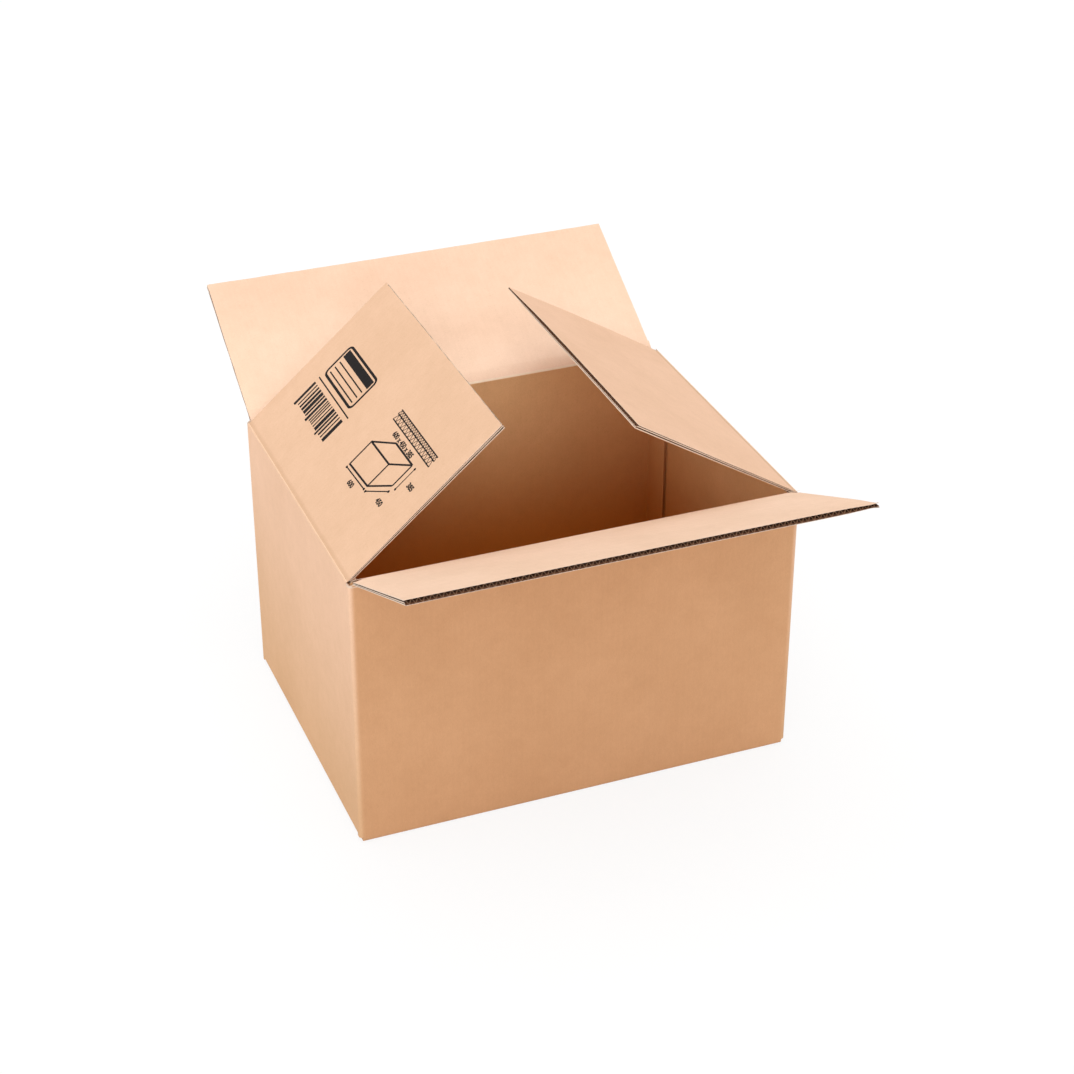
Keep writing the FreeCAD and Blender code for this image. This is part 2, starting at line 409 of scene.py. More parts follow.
def body_tone(tree, parts, marks):
    """Feeds the group the tone of the face that a point lies on, with its painted light and shade, and its direction
    across the flutes.
    """
    away_x, away_y, z = away(tree, parts, "X"), away(tree, parts, "Y"), parts.outputs["Z"]
    on_end = smooth_share(tree, away_x, *END_FADE)
    inside = times(tree, math_node(tree, "LESS_THAN", away_x, INSIDE_X),
                   math_node(tree, "LESS_THAN", away_y, INSIDE_Y),
                   math_node(tree, "GREATER_THAN", z, INSIDE_FLOOR))
    end_height = smooth_share(tree, z, *END_WALL_HEIGHTS)
    end_tone = mixed_tone(tree, end_height, END_WALL_LOW_PAINTED_SHADE_TONE, END_WALL_TOP_PAINTED_LIGHT_TONE)
    outside_tone = mixed_tone(tree, on_end, LONG_WALL_PAINTED_SHADE_TONE, end_tone)
    height = smooth_share(tree, z, *INSIDE_DEPTHS)
    inside_tone = mixed_tone(tree, height, INSIDE_LOW_PAINTED_SHADE_TONE, INSIDE_TOP_PAINTED_LIGHT_TONE)
    # The slots beside the flaps leave the walls' corners bare, with their papers rubbed pale
    corner = times(tree, math_node(tree, "GREATER_THAN", away_x, CORNER_X),
                   math_node(tree, "GREATER_THAN", away_y, CORNER_Y), smooth_share(tree, z, *CORNER_HEIGHTS))
    tone = mixed_tone(tree, inside, outside_tone, inside_tone)
    tree.links.new(mixed_tone(tree, corner, tone, CORNER_TONE), marks.inputs["Tone"])
    end_wall = math_node(tree, "GREATER_THAN", away_x, END_WALL_X)
    along_y = times(tree, end_wall, math_node(tree, "SUBTRACT", parts.outputs["Y"], parts.outputs["X"]))
    tree.links.new(math_node(tree, "ADD", parts.outputs["X"], along_y), marks.inputs["Across Flutes"])


def dress_body():
    """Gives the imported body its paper."""
    paper = paper_material("kraft walls", LONG_WALL_PAINTED_SHADE_TONE, tone_from=body_tone)
    for slot in frame["nodes"][BODY_NODE].material_slots:
        slot.material = paper


dress_body()
print("body dressed")

# %% [markdown]
# Near a crease the board is pressed thin, and it swells to its full section within a couple of
# centimetres. Away from the crease a loose flap is never quite flat. Both are written once, as the
# change from plain lengths in a flap to a place in the room, and everything that belongs to the flap
# goes through it: the liners, the fluted papers and the print.

# %% From a flap's lengths to a place in the room
BOARD = 7.0 * MM
ROOT_GAP = 0.3 * MM
CREASE_SHARE = 0.42
CREASE_REACH = 10 * MM
SCORE_DEPTH, SCORE_START, SCORE_END = 0.9 * MM, 0.3 * CREASE_REACH, 1.4 * CREASE_REACH
# The roots' mitre is judged at this share of a paper's depth
MITRE_SHARE = 0.7
# Belly is how far the middle of a flap's tip bows, and twist how far its two tip corners part
BELLY = {"front": 0.5 * MM, "back": -0.8 * MM, "left": 0.6 * MM, "right": -0.8 * MM}
TWIST = {"front": 0.3 * MM, "back": 0.6 * MM, "left": -0.4 * MM, "right": 0.9 * MM}
# Worn tip corners at a flap's high side: the share pinched away, its reach, and how far the papers part
WORN_CORNERS = {"front": (0.42, 30 * MM, 1.3 * MM), "right": (0.60, 75 * MM, 0.0)}
SPLAY_REACH = 6 * MM
# What the knife does to the section at a cut edge: depths of the papers' faces before and after.
# Along a side it runs with the flutes and smears the papers. At a tip it presses one flute or both.
FREE_DEPTHS = np.array([0.0, 0.4, 2.8, 3.2, 6.6, 7.0]) * MM
SIDE_DEPTHS = np.array([0.4, 1.7, 2.6, 3.9, 5.5, 6.9]) * MM
TIP_DEPTHS = {"front": np.array([0.2, 0.45, 0.55, 0.75, 6.75, 7.0]) * MM,
              "back": np.array([0.3, 1.6, 2.4, 3.9, 5.2, 6.8]) * MM,
              "left": np.array([0.3, 1.6, 2.4, 3.9, 5.2, 6.8]) * MM,
              "right": np.array([0.1, 0.5, 4.3, 5.0, 5.5, 6.9]) * MM}
KNIFE_REACH = 2.2 * MM
EDGE_PRESS = 0.38
EDGE_REACH = 9 * MM


def ease(x):
    """Smooth step from 0 to 1."""
    x = np.clip(x, 0, 1)
    return x * x * (3 - 2 * x)


def press(s):
    """Share of its thickness that the board keeps, at a distance from the crease."""
    return CREASE_SHARE + (1 - CREASE_SHARE) * ease(s / CREASE_REACH)


def bow(flap, w, s):
    """How far a loose flap leaves its plane."""
    middle, half = (flap.low + flap.high) / 2, (flap.high - flap.low) / 2
    side = (w - middle) / half
    free = (np.maximum(s - CREASE_REACH, 0) / flap.length) ** 2
    return free * (BELLY[flap.body] * np.cos(side * math.pi / 2) + TWIST[flap.body] * side)


def score(s):
    """How deep the scoring wheel has pressed the outer face in, beside the crease."""
    return SCORE_DEPTH * ease(s / SCORE_START) * (1 - ease(s / SCORE_END))


def cut_section(flap, w, s, t):
    """Depth in the board after the knife has moved the papers at the nearest cut edge."""
    side = np.minimum(w - flap.low, flap.high - w)
    at_tip, at_side = (np.exp(-(np.maximum(away, 0) / KNIFE_REACH) ** 2) for away in (flap.length - s, side))
    depth = t + at_side * (np.interp(t, FREE_DEPTHS, SIDE_DEPTHS) - t)
    depth = depth + at_tip * (np.interp(t, FREE_DEPTHS, TIP_DEPTHS[flap.body]) - depth)
    # The slots' knife presses the board, most at the crease
    pressed = EDGE_PRESS * np.exp(-(np.maximum(side, 0) / EDGE_REACH) ** 2) * (1 - s / flap.length)
    return depth * (1 - pressed)


def worn_corner(flap, w, s, t, depth):
    """A tip corner pinched thin, with its papers parting at the very end."""
    if flap.body not in WORN_CORNERS:
        return depth
    share, reach, splay = WORN_CORNERS[flap.body]
    away = np.hypot(flap.high - w, flap.length - s)
    pinch = 1 - share * np.exp(-(away / reach) ** 2)
    return BOARD / 2 + (depth - BOARD / 2) * pinch + splay * np.exp(-(away / SPLAY_REACH) ** 2) * (2 * t / BOARD - 1)


def place(flap, w, s, t):
    """World points of lengths across, along and through a flap, as rows of x, y, z."""
    w, s, t = np.broadcast_arrays(*(np.asarray(v, float) for v in (w, s, t)))
    depth = cut_section(flap, w, s, t) * press(s)
    depth = depth + score(s) * (1 - t / BOARD)
    depth = worn_corner(flap, w, s, t, depth) + bow(flap, w, s)
    parts = [np.multiply.outer(length, np.array(direction)) for length, direction in
             ((w, flap.across), (s, flap.along), (depth, flap.through))]
    return np.array(flap.crease) + sum(parts)


def root(t):
    """Where a paper at depth t starts: on the mitre that lets the flap lie flat on the rim."""
    near = MITRE_SHARE * t
    return ROOT_GAP + t * press(near) + score(near) * (1 - t / BOARD)


print("pressed to %.1f mm at the crease" % (BOARD * CREASE_SHARE / MM))

# %% [markdown]
# A liner is a flat sheet of heavy paper. It is a closed slab: one grid of points for each face and four
# strips round the edge. The knife leaves a cut edge that is straight to the eye and a few tenths of
# a millimetre off near to, so the outermost points are moved by a seeded random amount.

# %% Closed slabs and meshes
class Shells:
    """Closed shells that will become one mesh, with a material number for each face."""

    def __init__(self):
        self.points, self.faces, self.slots = [], [], []
        self.count = 0

    def add(self, points, faces, slots):
        self.points.append(np.asarray(points, float).reshape(-1, 3))
        self.faces += [tuple(i + self.count for i in face) for face in faces]
        self.slots += slots
        self.count += len(self.points[-1])

    def slab(self, first, second, slots=(0, 1, 2)):
        """A slab between two grids of points, with a material for each face and for the edge."""
        rows, columns = first.shape[:2]

        def at(layer, i, j):
            return layer * rows * columns + i * columns + j

        faces, kinds = [], []
        for layer in (0, 1):
            for i in range(rows - 1):
                for j in range(columns - 1):
                    faces.append((at(layer, i, j), at(layer, i + 1, j), at(layer, i + 1, j + 1), at(layer, i, j + 1)))
                    kinds.append(slots[layer])
        rim = [(i, 0) for i in range(rows)] + [(rows - 1, j) for j in range(1, columns)]
        rim += [(i, columns - 1) for i in range(rows - 2, -1, -1)] + [(0, j) for j in range(columns - 2, 0, -1)]
        for (i, j), (k, m) in zip(rim, rim[1:] + rim[:1]):
            faces.append((at(0, i, j), at(0, k, m), at(1, k, m), at(1, i, j)))
            kinds.append(slots[2])
        self.add(np.concatenate([first.reshape(-1, 3), second.reshape(-1, 3)]), faces, kinds)

    def piece(self, name, materials, smooth_below=35):
        """One object of all the shells, facing outwards, smooth except at its edges."""
        mesh = bpy.data.meshes.new(name)
        mesh.from_pydata(np.concatenate(self.points).tolist(), [], self.faces)
        for material in materials:
            mesh.materials.append(material)
        mesh.polygons.foreach_set("material_index", self.slots)
        work = bmesh.new()
        work.from_mesh(mesh)
        bmesh.ops.recalc_face_normals(work, faces=work.faces)
        work.to_mesh(mesh)
        work.free()
        mesh.shade_smooth()
        mesh.set_sharp_from_angle(angle=math.radians(smooth_below))
        piece = bpy.data.objects.new(name, mesh)
        bpy.context.collection.objects.link(piece)
        return piece


def triangles(piece):
    """How many triangles a piece has."""
    return sum(len(p.vertices) - 2 for p in piece.data.polygons)


print("slab helper ready")

# %% Liners
LINER = 0.4 * MM
FINE_FLUTE, FINE_PITCH = 2.4 * MM, 6.4 * MM
COARSE_FLUTE, COARSE_PITCH = 3.4 * MM, 7.8 * MM
LINER_DEPTHS = (0.0, LINER + FINE_FLUTE, BOARD - LINER)
KNIFE_ERROR = 0.25 * MM
LINER_COLUMNS = 40
EDGE_STEPS = np.array([0.0, 0.6, 1.2, 2.0, 3.0, 4.5, 7.0, 11.0]) * MM
ROW_STEPS = np.array([0, 1.0, 2.2, 3.6, 5.2, 7.0, 9.0, 11, 14, 22, 36, 55, 80, 105, 130, 155, 180, 205, 230]) * MM


def liner_rows(flap, t):
    """Distances from the crease at which a liner has points, close together at both ends."""
    start = root(t)
    inner = [start + step for step in ROW_STEPS if start + step < flap.length - 2 * EDGE_STEPS[-1]]
    return np.array(inner + list(flap.length - EDGE_STEPS[::-1]))


def liner_columns(flap):
    """Places across a flap at which a liner has points, close together at both sides."""
    middle = np.linspace(flap.low + EDGE_STEPS[-1], flap.high - EDGE_STEPS[-1], LINER_COLUMNS)[1:-1]
    return np.concatenate([flap.low + EDGE_STEPS, middle, flap.high - EDGE_STEPS[::-1]])


def add_liners(flap, shells, seed):
    """The three liners of a flap, as closed slabs with slightly uneven cut edges."""
    rng = np.random.default_rng(seed)
    for number, depth in enumerate(LINER_DEPTHS):
        s, w = np.meshgrid(liner_rows(flap, depth), liner_columns(flap), indexing="ij")
        tip, low, high = (np.abs(rng.normal(0, KNIFE_ERROR, size)) for size in (s.shape[1], s.shape[0], s.shape[0]))
        s[-1, :] -= tip
        w[:, 0] += low
        w[:, -1] -= high
        faces = [place(flap, w, s, t) for t in (depth, depth + LINER)]
        outer = 0 if number == 0 else 2
        inner = 1 if number == 2 else 2
        shells.slab(*faces, slots=(outer, inner, 3))


print("liners at", [round(d / MM, 1) for d in LINER_DEPTHS], "mm below the outer face")

# %% [markdown]
# The fluted papers are a wave that repeats every few millimetres, which is work for Geometry Nodes. The
# tree makes a flat grid, lifts it by a sine of its distance across the flutes, gives it the paper's
# thickness, and closes it with its own flipped copy. The flutes of real board lean and crowd a little,
# so noise moves the wave's phase. The inputs are set once for each layer, and the result is taken as
# a plain mesh and laid into the flap's section.

# %% The fluted paper tree
WAVE_INPUTS = (("Width", "Float", 0.4), ("Length", "Float", 0.2), ("Columns", "Int", 400), ("Rows", "Int", 9),
               ("Pitch", "Float", 0.0078), ("Swing", "Float", 0.0015), ("Paper", "Float", 0.0003),
               ("Unevenness", "Float", 0.0006), ("Seed", "Float", 0.0), ("Material", "Material"))
DRIFT_SCALE = 45


def make_wave_tree():
    """Geometry Nodes tree of one fluted paper, flat on X and Y, with its waves along X."""
    tree = bpy.data.node_groups.new("fluted paper", "GeometryNodeTree")
    add_sockets(tree, "INPUT", WAVE_INPUTS)
    add_sockets(tree, "OUTPUT", (("Geometry", "Geometry"),))
    given = tree.nodes.new("NodeGroupInput").outputs
    grid = add(tree, "GeometryNodeMeshGrid")
    for name, socket in (("Size X", "Width"), ("Size Y", "Length"), ("Vertices X", "Columns"), ("Vertices Y", "Rows")):
        tree.links.new(given[socket], grid.inputs[name])
    spot = tree.nodes.new("GeometryNodeInputPosition").outputs[0]
    x = add(tree, "ShaderNodeSeparateXYZ", i0=spot).outputs["X"]
    drift = add(tree, "ShaderNodeTexNoise", Vector=spot, Scale=DRIFT_SCALE)
    drift.noise_dimensions = "4D"
    tree.links.new(given["Seed"], drift.inputs["W"])
    offset = times(tree, math_node(tree, "SUBTRACT", drift.outputs[0], 0.5), given["Unevenness"])
    turn = math_node(tree, "DIVIDE", math_node(tree, "ADD", x, offset), given["Pitch"])
    wave = math_node(tree, "SINE", times(tree, turn, 2 * math.pi))
    lift = add(tree, "ShaderNodeCombineXYZ", Z=times(tree, wave, given["Swing"])).outputs[0]
    sheet = add(tree, "GeometryNodeSetPosition", Geometry=grid.outputs["Mesh"], Offset=lift).outputs[0]
    top = add(tree, "GeometryNodeExtrudeMesh", Mesh=sheet, Individual=False, **{"Offset Scale": given["Paper"]})
    under = add(tree, "GeometryNodeFlipFaces", Mesh=sheet)
    joined = tree.nodes.new("GeometryNodeJoinGeometry")
    tree.links.new(top.outputs["Mesh"], joined.inputs[0])
    tree.links.new(under.outputs[0], joined.inputs[0])
    closed = add(tree, "GeometryNodeMergeByDistance", Geometry=joined.outputs[0], Distance=1e-6)
    real = add(tree, "GeometryNodeRealizeInstances", Geometry=closed.outputs[0])
    painted = add(tree, "GeometryNodeSetMaterial", Geometry=real.outputs[0], Material=given["Material"])
    add(tree, "NodeGroupOutput", Geometry=painted.outputs[0])
    return tree


WAVE_TREE = make_wave_tree()
print("wave tree with", len(WAVE_TREE.nodes), "nodes")

# %% One fluted paper as a plain mesh
MEDIUM_PAPER = 0.3 * MM
FLUTE_DRIFT = 1.6 * MM
SIDE_INSET = 0.6 * MM
TIP_INSET = 0.5 * MM
POINTS_PER_WAVE = 8
ROW_SHARES = np.array([0, 0.012, 0.026, 0.045, 0.09, 0.35, 0.65, 0.95, 0.985, 0.993, 1.0])


def fluted_sheet(width, length, pitch, flute, seed):
    """Points and faces of one fluted paper, about its own middle."""
    host = bpy.data.objects.new("wave host", bpy.data.meshes.new("wave host"))
    bpy.context.collection.objects.link(host)
    modifier = host.modifiers.new("waves", "NODES")
    modifier.node_group = WAVE_TREE
    values = {"Width": width, "Length": length, "Columns": int(width / pitch * POINTS_PER_WAVE) + 1,
              "Rows": len(ROW_SHARES), "Pitch": pitch, "Swing": (flute - MEDIUM_PAPER) / 2, "Paper": MEDIUM_PAPER,
              "Unevenness": FLUTE_DRIFT, "Seed": float(seed), "Material": HOLLOW_SHADED_PAPER}
    for item in WAVE_TREE.interface.items_tree:
        if item.in_out == "INPUT":
            modifier[item.identifier] = values[item.name]
    host.update_tag()
    evaluated = host.evaluated_get(bpy.context.evaluated_depsgraph_get())
    mesh = bpy.data.meshes.new_from_object(evaluated)
    points = np.empty(len(mesh.vertices) * 3)
    mesh.vertices.foreach_get("co", points)
    faces = [tuple(p.vertices) for p in mesh.polygons]
    host.modifiers.clear()
    bpy.data.objects.remove(host)
    bpy.data.meshes.remove(mesh)
    return points.reshape(-1, 3), faces


def add_waves(flap, shells, seed):
    """The two fluted papers of a flap, between its liners."""
    layers = ((LINER, FINE_FLUTE, FINE_PITCH), (2 * LINER + FINE_FLUTE, COARSE_FLUTE, COARSE_PITCH))
    width = flap.high - flap.low - 2 * SIDE_INSET
    for number, (start, flute, pitch) in enumerate(layers):
        points, faces = fluted_sheet(width, 1.0, pitch, flute, seed + number)
        t = start + flute / 2 + points[:, 2] - MEDIUM_PAPER / 2
        # Rows crowd at the crease and at the tip, where the board changes thickness
        share = np.interp(points[:, 1] + 0.5, np.linspace(0, 1, len(ROW_SHARES)), ROW_SHARES)
        s = root(t) + (flap.length - TIP_INSET - root(t)) * share
        w = points[:, 0] + (flap.low + flap.high) / 2
        at_tip = share > 1 - 1e-6
        slots = [5 if all(at_tip[i] for i in face) else 4 for face in faces]
        shells.add(place(flap, w, s, t), faces, slots)


print("waves have", POINTS_PER_WAVE, "points each")

# %% The four flaps
# The back flap's inner liner is palest in the middle beside its crease, and deeper towards its tip, as the
# photograph's light leaves it
BACK_NEAR_PAINTED_LIGHT_TONE = (0.96, 0.715, 0.54)
BACK_TIP_PAINTED_SHADE_TONE = (0.84, 0.565, 0.405)
BACK_NEAR_FADE, BACK_TIP_FADE, BACK_MIDDLE_FADE = (0.230, 0.300), (0.320, 0.400), (0.15, 0.26)


def back_inner_light_and_shade_tone(tree, parts):
    """The back flap's inner liner tone at a place, with its painted light and shade."""
    middle = smooth_share(tree, away(tree, parts, "X"), *BACK_MIDDLE_FADE)
    beside = mixed_tone(tree, middle, BACK_NEAR_PAINTED_LIGHT_TONE, INNER_TONE)
    inner = mixed_tone(tree, smooth_share(tree, parts.outputs["Y"], *BACK_NEAR_FADE), beside, INNER_TONE)
    return mixed_tone(tree, smooth_share(tree, parts.outputs["Y"], *BACK_TIP_FADE), inner, BACK_TIP_PAINTED_SHADE_TONE)


def feed_back_light_and_shade_tone(tree, parts, marks):
    """Feeds the group the back flap's tone, with its painted light and shade."""
    tree.links.new(back_inner_light_and_shade_tone(tree, parts), marks.inputs["Tone"])


INNER_TONES = {"front": INNER_TONE, "back": back_inner_light_and_shade_tone, "left": INNER_TONE, "right": INNER_TONE}
FLAP_INNER = {body: paper_material("kraft inner liner " + body, INNER_TONE, axis,
                                   tone_from=feed_back_light_and_shade_tone if body == "back" else None)
              for body, axis in FLAP_AXES.items()}
FLAP_SEEDS = {"front": 11, "back": 23, "left": 37, "right": 41}


def make_flap(flap):
    """A flap's board in five papers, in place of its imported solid."""
    shells = Shells()
    add_liners(flap, shells, FLAP_SEEDS[flap.body])
    add_waves(flap, shells, FLAP_SEEDS[flap.body])
    papers = [FLAP_OUTER[flap.body], FLAP_INNER[flap.body], HOLLOW_SHADED_PAPER, CUT_EDGE, HOLLOW_SHADED_PAPER, CUT_WAVE]
    piece = shells.piece(flap.body + "_flap_board", papers)
    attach(piece, flap.body)
    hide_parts(flap.node)
    return piece


for flap in FLAPS.values():
    board = make_flap(flap)
    print(board.name, triangles(board), "triangles")

# %% [markdown]
# At a crease the liners run on from the wall into the flap. Inside the box that is a soft fold, so each crease gets a
# thin sheet whose section is one smooth curve from the wall's inner face, past the pressed line, to the flap's inner
# face. Outside, the folded liner stands out as a narrow ridge. Both crests are rubbed pale and carry a painted
# highlight, and painted shade lies just past the outer crest, on the flap.

# %% Crease skins
SKIN = 0.3 * MM
SKIN_COLUMNS = 60
WALL_REACH = 15 * MM
FLAP_REACH = 11 * MM
WALL_ROWS = 3
RIDGE_REACH = 4.0 * MM
RIDGE_FLAP_REACH = 8.0 * MM
RIDGE_STEPS = 17
RIDGE_CREST = 11
RIDGE_SWELL = 0.30 * MM
SKIN_WANDER = 0.12 * MM
# The pale crest tones are rubbed paper with a painted highlight, and the darker tone just past the outer crest is
# painted shade.
# Tones across a fold: from this many millimetres past its crest to that many, and the tone there
INNER_RUB_AND_HIGHLIGHT = ((0.2, 0.6, RUBBED_AND_HIGHLIGHT_TONE),)
RIDGE_RUB_AND_HIGHLIGHT_TONE = (0.85, 0.605, 0.42)
SCORE_VALLEY_SHADE_TONE = (0.655, 0.412, 0.262)
OUTER_RUB_HIGHLIGHT_AND_SHADE = ((-1.6, -0.8, RIDGE_RUB_AND_HIGHLIGHT_TONE), (0.5, 1.4, SCORE_VALLEY_SHADE_TONE))
PAST_CREST = "millimetres past the crest"


def crest_tone(wall_tone, changes):
    """The wall's tone, and then each change of tone across the fold."""

    def feed_tone(tree, parts, marks):
        stored = tree.nodes.new("ShaderNodeAttribute")
        stored.attribute_name = PAST_CREST
        tone = wall_tone
        for start, end, after in changes:
            after = after(tree, parts) if callable(after) else after
            tone = mixed_tone(tree, smooth_share(tree, stored.outputs["Fac"], start, end), tone, after)
        tree.links.new(tone, marks.inputs["Tone"])

    return feed_tone


SKIN_PAPER = {body: paper_material("inner liner at the %s crease" % body, INNER_TONE, axis,
                                   tone_from=crest_tone(INSIDE_TOP_PAINTED_LIGHT_TONE,
                                                        INNER_RUB_AND_HIGHLIGHT + ((2.4, 4.6, INNER_TONES[body]),)))
              for body, axis in FLAP_AXES.items()}
WALL_TONES = {"X": LONG_WALL_PAINTED_SHADE_TONE, "Y": END_WALL_TOP_PAINTED_LIGHT_TONE}
RIDGE_PAPER = {body: paper_material("outer liner at the %s crease" % body, OUTER_TONES[body], axis,
                                    tone_from=crest_tone(WALL_TONES[axis],
                                                         OUTER_RUB_HIGHLIGHT_AND_SHADE + ((3.0, 9.0, OUTER_TONES[body]),)))
               for body, axis in FLAP_AXES.items()}


def store_past_crest(piece, curve, crest):
    """Stores how far each row of a skin lies past its crest, as a point attribute that its tones are read from."""
    steps = np.linalg.norm(np.diff(curve, axis=0), axis=1)
    past = (np.concatenate([[0], np.cumsum(steps)]) - steps[:crest].sum()) / MM
    stored = piece.data.attributes.new(PAST_CREST, "FLOAT", "POINT")
    stored.data.foreach_set("value", np.tile(np.repeat(past, SKIN_COLUMNS), 2))


def bezier(corners, share):
    """Points on a curve with four handles."""
    p, q, r, v = (np.asarray(c, float) for c in corners)
    k = np.asarray(share)[:, None]
    return (1 - k) ** 3 * p + 3 * (1 - k) ** 2 * k * q + 3 * (1 - k) * k ** 2 * r + k ** 3 * v


def section_point(flap, s, t):
    """A point of the flap's section: inwards and up from the crease, in metres."""
    depth = t * float(press(s))
    return np.array([s * math.sin(flap.lean) + depth * math.cos(flap.lean),
                     s * math.cos(flap.lean) - depth * math.sin(flap.lean)])


def offset_curve(curve, distance):
    """The curve moved sideways, to the right of its direction."""
    slope = np.gradient(curve, axis=0)
    slope /= np.linalg.norm(slope, axis=1)[:, None]
    return curve + np.stack([slope[:, 1], -slope[:, 0]], axis=1) * distance


def skin_strip(flap, first, second, rng):
    """Two grids of points along the crease, one for each of two section curves."""
    w = np.linspace(flap.low, flap.high, SKIN_COLUMNS)
    wander = np.convolve(rng.normal(0, SKIN_WANDER, SKIN_COLUMNS + 4), np.ones(5) / 5, "valid")
    middle = np.sin(np.linspace(0, math.pi, len(first)))
    grids = []
    for curve in (first, second):
        inwards = np.add.outer(curve[:, 0], 0 * w) + np.outer(middle, wander)
        upwards = np.add.outer(curve[:, 1], 0 * w) + np.outer(middle, wander)
        grid = np.array(flap.crease) + np.multiply.outer(inwards, np.array(flap.inward))
        grid = grid + np.multiply.outer(upwards, np.array(UP))
        grids.append(grid + np.multiply.outer(0 * upwards + w, np.array(flap.across)))
    return grids


def inner_fold(flap):
    """Section of the inner liner's fold: up the wall, round, and into the flap's inner face."""
    if flap.lean < 0:
        # Folded outwards, the liner is drawn over a full round edge
        turn, handle, pull = (BOARD + 0.12 * MM, -1.2 * MM), (BOARD + 0.12 * MM, 0.7 * MM), (3.5 * MM, 6.5 * MM)
    else:
        turn, handle, pull = (BOARD + 0.12 * MM, -8.0 * MM), (BOARD + 0.2 * MM, -4.4 * MM), (2.6 * MM, 6.6 * MM)
    end = section_point(flap, FLAP_REACH, BOARD + 0.03 * MM)
    pull = np.array([pull[0] * math.sin(flap.lean) + pull[1] * math.cos(flap.lean),
                     pull[0] * math.cos(flap.lean) - pull[1] * math.sin(flap.lean)])
    straight = np.linspace((BOARD - 0.12 * MM, -WALL_REACH), turn, WALL_ROWS + 1)[:-1]
    return np.concatenate([straight, bezier((turn, handle, pull, end), np.linspace(0, 1, 20) ** 1.4)])


def make_inner_skin(flap, rng):
    """The inner liner's soft fold from the wall into the flap."""
    curve = inner_fold(flap)
    shells = Shells()
    shells.slab(*skin_strip(flap, curve, offset_curve(curve, -SKIN), rng), slots=(0, 0, 1))
    piece = shells.piece(flap.body + "_crease_inner_skin", [SKIN_PAPER[flap.body], CUT_EDGE])
    store_past_crest(piece, curve, WALL_ROWS)
    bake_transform(piece)
    return piece


def make_outer_skin(flap, rng):
    """The outer liner's narrow ridge along the crease."""
    normal = np.array([math.cos(flap.lean), -math.sin(flap.lean)])
    # The ridge follows the pressed outer face, a hair above it, and dips under the wall's face
    steps = np.array([0.25, 0.5, 0.75, 1.0]) * RIDGE_FLAP_REACH
    on_flap_face = [section_point(flap, step, 0) + normal * (float(score(step)) - 0.04 * MM) for step in steps]
    points = [np.array([0.12 * MM, -RIDGE_REACH]), np.array([-0.12 * MM, -1.2 * MM]),
              section_point(flap, 0.5 * MM, 0) - normal * 0.25 * MM, on_flap_face[0]]
    curve = np.concatenate([bezier(points, np.linspace(0, 1, RIDGE_STEPS)), on_flap_face[1:]])
    swell = np.sin(np.linspace(0, math.pi, RIDGE_STEPS)) ** 2 * RIDGE_SWELL
    swell = np.concatenate([swell, np.zeros(len(steps) - 1)])
    tilt = np.array([-math.cos(flap.lean / 2), math.sin(flap.lean / 2)])
    curve = curve + np.outer(swell, tilt)
    shells = Shells()
    shells.slab(*skin_strip(flap, curve, offset_curve(curve, SKIN), rng), slots=(0, 0, 0))
    piece = shells.piece(flap.body + "_crease_outer_ridge", [RIDGE_PAPER[flap.body]])
    store_past_crest(piece, curve, RIDGE_CREST)
    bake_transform(piece)
    return piece


for number, flap in enumerate(FLAPS.values()):
    rng = np.random.default_rng(100 + number)
    print(make_inner_skin(flap, rng).name, make_outer_skin(flap, rng).name)

# %% [markdown]
# The left flap carries plain black print: a form to write on, a set of bars, a small drawing of the
# board's section, and an outline of the box with its three sizes. Ink has almost no thickness, but it
# has to lie on a flap that is bowed, so each mark is a thin closed slab in the flap's own lengths,
# divided finely enough to follow the bow. Marks are placed by their share of the flap's width, from the
# back, and of its length, from the tip.

# %% Ink helpers
INK_RISE = 0.06 * MM
INK_SINK = 0.03 * MM
INK_STEP = 14 * MM
ink = Shells()
printed = FLAPS["left"]


def on_flap(u, v):
    """Lengths across and along the printed flap, from shares of its width and length."""
    return np.array([printed.low + u * (printed.high - printed.low), printed.length * (1 - v)])


def ink_slab(left_side, right_side):
    """A mark between two rows of points in the flap's lengths."""
    grid = np.stack([left_side, right_side], axis=1)
    faces = [place(printed, grid[..., 0], grid[..., 1], t) for t in (-INK_RISE, INK_SINK)]
    ink.slab(*faces, slots=(0, 0, 0))


def stroke(start, end, width):
    """A straight line with square ends."""
    start, end = np.asarray(start, float), np.asarray(end, float)
    steps = max(1, int(np.ceil(np.linalg.norm(end - start) / INK_STEP))) + 1
    path = start + np.multiply.outer(np.linspace(0, 1, steps), end - start)
    heading = (end - start) / np.linalg.norm(end - start)
    side = np.array([-heading[1], heading[0]]) * width / 2
    ink_slab(path - side, path + side)


def outline(points, width, closed=True):
    """A line with mitred corners through points."""
    points = [np.asarray(p, float) for p in points]
    count = len(points)
    left_side, right_side = [], []
    for index, here in enumerate(points):
        before = points[index - 1] if closed or index else here
        after = points[(index + 1) % count] if closed or index < count - 1 else here
        first, second = (here - before), (after - here)
        first = first / (np.linalg.norm(first) or 1) if np.linalg.norm(first) else second / np.linalg.norm(second)
        second = second / np.linalg.norm(second) if np.linalg.norm(second) else first
        normal = np.array([-(first + second)[1], (first + second)[0]])
        normal /= np.linalg.norm(normal)
        reach = width / 2 / max(0.5, float(normal @ np.array([-first[1], first[0]])))
        left_side.append(here - normal * reach)
        right_side.append(here + normal * reach)
    if closed:
        left_side.append(left_side[0] + 1e-7)
        right_side.append(right_side[0] + 1e-7)
    ink_slab(np.array(left_side), np.array(right_side))


def dot(centre, radius):
    """A round spot."""
    turns = np.linspace(0, math.pi, 9)
    upper = centre + radius * np.stack([np.cos(turns), np.sin(turns)], axis=1)
    lower = centre + radius * np.stack([np.cos(turns), -np.sin(turns)], axis=1)
    lower[[0, -1]] += 1e-7
    ink_slab(upper, lower)


